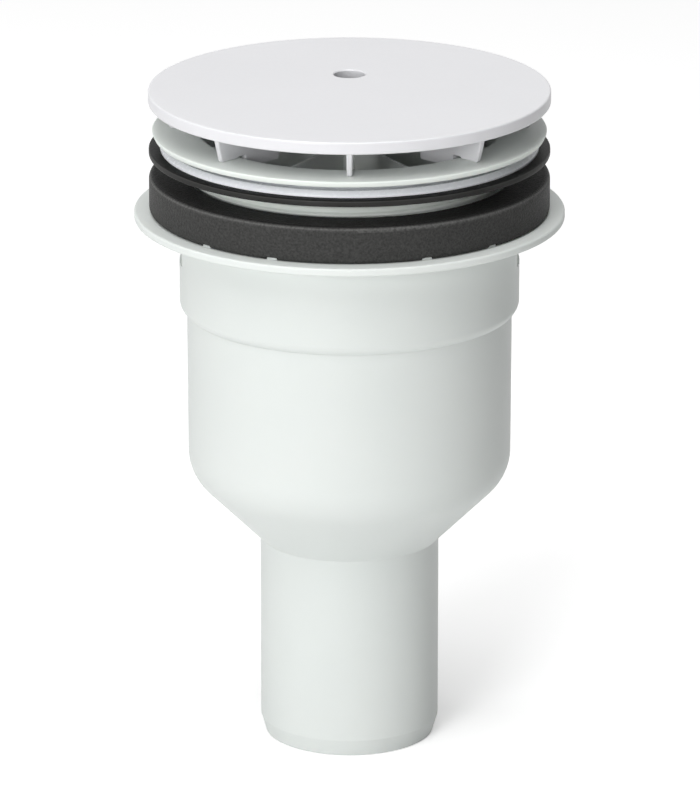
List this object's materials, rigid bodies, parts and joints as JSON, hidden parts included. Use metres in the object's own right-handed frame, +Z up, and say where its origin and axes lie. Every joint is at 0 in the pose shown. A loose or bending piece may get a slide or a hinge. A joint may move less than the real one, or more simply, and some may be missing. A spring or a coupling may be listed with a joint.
{
  "type": "shower waste",
  "caption": "Shower waste with a round cover, screw clamp flange and rubber seals for a shower tray, cup trap inside and a vertical outlet pipe below.",
  "frame": {"origin": "centre of the outlet pipe's lower end, which the part stands on", "axes": "+Z up along the waste's axis towards the cover, -Y to the front, where the picture looks from"},
  "size_m": [0.1192, 0.1192, 0.187],
  "materials": {
    "body_plastic": "satin moulded polypropylene, very pale grey-green",
    "gasket_rubber": "matt black rubber with a fine grain",
    "seal_rubber": "smooth satin black rubber",
    "slip_plastic": "glossy bluish white plastic",
    "flange_plastic": "satin moulded polypropylene, pale grey-green",
    "cover_plastic": "smooth white plastic",
    "insert_plastic": "satin moulded polypropylene, pale grey-green"
  },
  "bodies": {
    "housing": {"drain_body": "body_plastic", "lower_gasket": "gasket_rubber"},
    "seal_pack": {"slip_ring": "slip_plastic", "upper_seal": "seal_rubber"},
    "clamp": {"clamp_flange": "flange_plastic", "cover_plate": "cover_plastic", "trap_insert": "insert_plastic", "insert_o_ring": "seal_rubber", "trap_cup": "insert_plastic"}
  },
  "joints": [
    {"name": "clamp_travel", "type": "slide", "parent": "housing", "child": "seal_pack", "axis": [0, 0, 1], "range_m": [-0.005, 0.012]},
    {"name": "flange_turn", "type": "hinge", "parent": "seal_pack", "child": "clamp", "pos_m": [0, 0, 0.168], "axis": [0, 0, 1], "range_deg": [-720, 1728]}
  ],
  "couplings": [
    {"joint": "clamp_travel", "follows": "flange_turn", "m_per_rad": 0.00039789}
  ]
}
